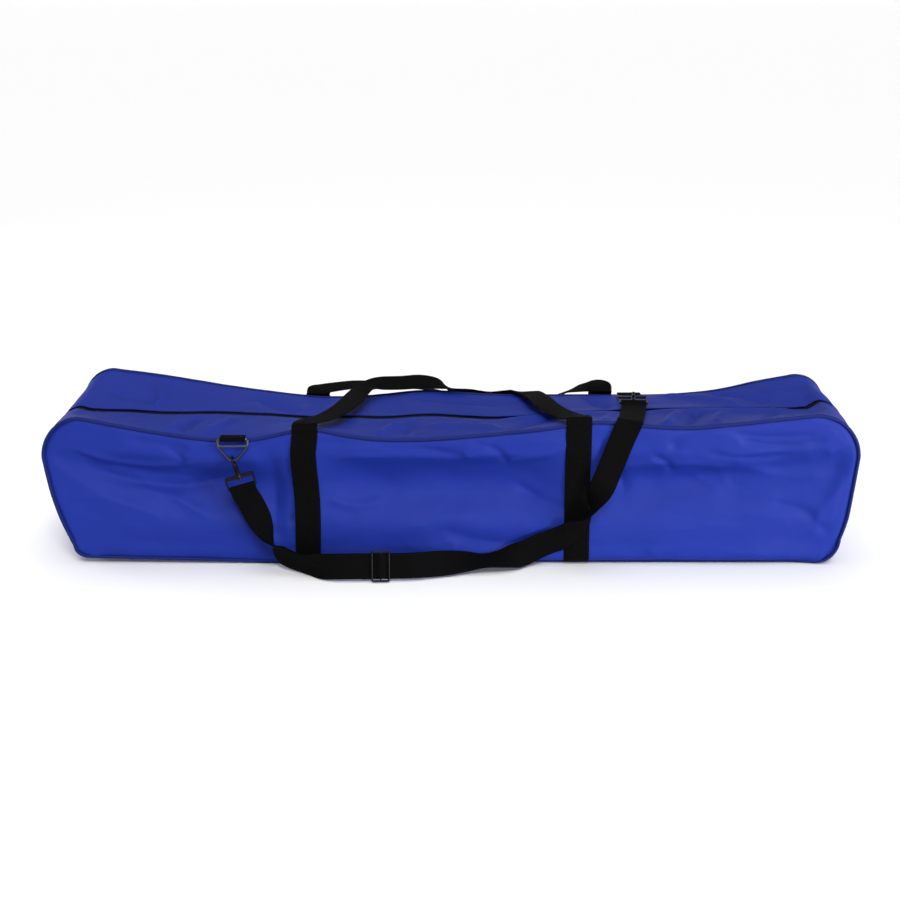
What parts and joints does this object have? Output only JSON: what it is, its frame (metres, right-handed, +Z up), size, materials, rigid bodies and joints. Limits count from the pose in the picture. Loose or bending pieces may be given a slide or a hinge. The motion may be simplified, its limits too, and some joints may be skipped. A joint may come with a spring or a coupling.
{
  "type": "carry bag",
  "caption": "Long soft carry bag for a lawn game set, with piped edges, a zip along its top, webbing carry handles and a clip-on shoulder strap with swivel snap hooks",
  "frame": {"origin": "on the ground under the middle of the bag, in the plane of its base", "axes": "+X along the bag to its right end as seen from the front, -Y out of the front panel, +Z up"},
  "size_m": [1.2132, 0.4087, 0.2443],
  "materials": {
    "cloth": "royal blue woven polyester",
    "webbing": "black polyester webbing",
    "zip": "black nylon coil and tape",
    "black_metal": "black coated die-cast metal",
    "ring_metal": "dark nickel-plated wire"
  },
  "bodies": {
    "bag": {"front_panel": "cloth", "back_panel": "cloth", "base_panel": "cloth", "left_end": "cloth", "right_end": "cloth", "top_gusset": "cloth", "front_piping": "cloth", "back_piping": "cloth", "left_zip_end": "zip", "right_zip_end": "zip", "front_left_webbing": "webbing", "front_right_webbing": "webbing", "back_left_webbing": "webbing", "back_right_webbing": "webbing", "left_ring_tab": "webbing", "right_ring_tab": "webbing"},
    "front_flap": {"front_flap": "cloth", "front_zip_tape": "zip", "front_zip_chain": "zip"},
    "back_flap": {"back_flap": "cloth", "back_zip_tape": "zip", "back_zip_chain": "zip"},
    "slider": {"zip_slider": "black_metal"},
    "pull": {"zip_pull": "black_metal"},
    "front_handle": {"front_handle": "webbing"},
    "back_handle": {"back_handle": "webbing"},
    "left_ring": {"left_ring": "ring_metal"},
    "right_ring": {"right_ring": "ring_metal"},
    "strap": {"shoulder_strap": "webbing", "strap_return": "webbing", "strap_hem": "webbing", "left_strap_fold": "webbing", "right_strap_fold": "webbing", "left_strap_loop": "black_metal", "right_strap_loop": "black_metal"},
    "left_hook": {"left_hook": "black_metal"},
    "left_bolt": {"left_bolt": "black_metal"},
    "right_hook": {"right_hook": "black_metal"},
    "right_bolt": {"right_bolt": "black_metal"},
    "adjuster": {"strap_adjuster": "black_metal"}
  },
  "joints": [
    {"name": "zip_travel", "type": "slide", "parent": "bag", "child": "slider", "axis": [-1, 0, -0.0029], "range_m": [0, 1.024]},
    {"name": "pull_flip", "type": "hinge", "parent": "slider", "child": "pull", "pos_m": [0.512, 0, 0.2103], "axis": [0, 1, 0], "range_deg": [0, 175]},
    {"name": "front_flap_open", "type": "hinge", "parent": "bag", "child": "front_flap", "pos_m": [-0.3, -0.1235, 0.198], "axis": [-0.9995, 0, -0.0317], "range_deg": [0, 55]},
    {"name": "back_flap_open", "type": "hinge", "parent": "bag", "child": "back_flap", "pos_m": [-0.3, 0.1235, 0.2055], "axis": [0.9999, 0, -0.0117], "range_deg": [0, 55]},
    {"name": "front_handle_swing", "type": "hinge", "parent": "bag", "child": "front_handle", "pos_m": [-0.214, -0.1233, 0.2183], "axis": [0.9996, 0, 0.0275], "range_deg": [0, 170]},
    {"name": "back_handle_swing", "type": "hinge", "parent": "bag", "child": "back_handle", "pos_m": [-0.213, 0.1233, 0.2006], "axis": [-1, 0, -0.0083], "range_deg": [0, 26]},
    {"name": "left_ring_play", "type": "hinge", "parent": "bag", "child": "left_ring", "pos_m": [-0.32, -0.13, 0.1986], "axis": [-1, 0, 0], "range_deg": [-1.5, 1.5]},
    {"name": "right_ring_play", "type": "hinge", "parent": "bag", "child": "right_ring", "pos_m": [0.289, 0.086, 0.206], "axis": [-1, 0, 0], "range_deg": [-1.5, 1.5]},
    {"name": "strap_swing", "type": "hinge", "parent": "bag", "child": "strap", "pos_m": [-0.32, -0.13351, 0.1678], "axis": [-0.9525, -0.2962, -0.0713], "range_deg": [0, 130]},
    {"name": "left_hook_swivel", "type": "hinge", "parent": "strap", "child": "left_hook", "pos_m": [-0.32, -0.13351, 0.1678], "axis": [-0.2924, 0, 0.9563], "range_deg": [-15, 15]},
    {"name": "left_bolt_slide", "type": "slide", "parent": "left_hook", "child": "left_bolt", "axis": [0.2924, 0, -0.9563], "range_m": [0, 0.0065], "stiffness_N_per_m": 300, "springref_m": -0.003},
    {"name": "right_hook_swivel", "type": "hinge", "parent": "strap", "child": "right_hook", "pos_m": [0.289, 0.05589, 0.21339], "axis": [0.0906, 0.9951, -0.0401], "range_deg": [-15, 15]},
    {"name": "right_bolt_slide", "type": "slide", "parent": "right_hook", "child": "right_bolt", "axis": [-0.0906, -0.9951, 0.0401], "range_m": [0, 0.0065], "stiffness_N_per_m": 300, "springref_m": -0.003},
    {"name": "strap_adjust", "type": "slide", "parent": "strap", "child": "adjuster", "axis": [0.9995, 0.0314, 0], "range_m": [-0.025, 0.02]}
  ]
}
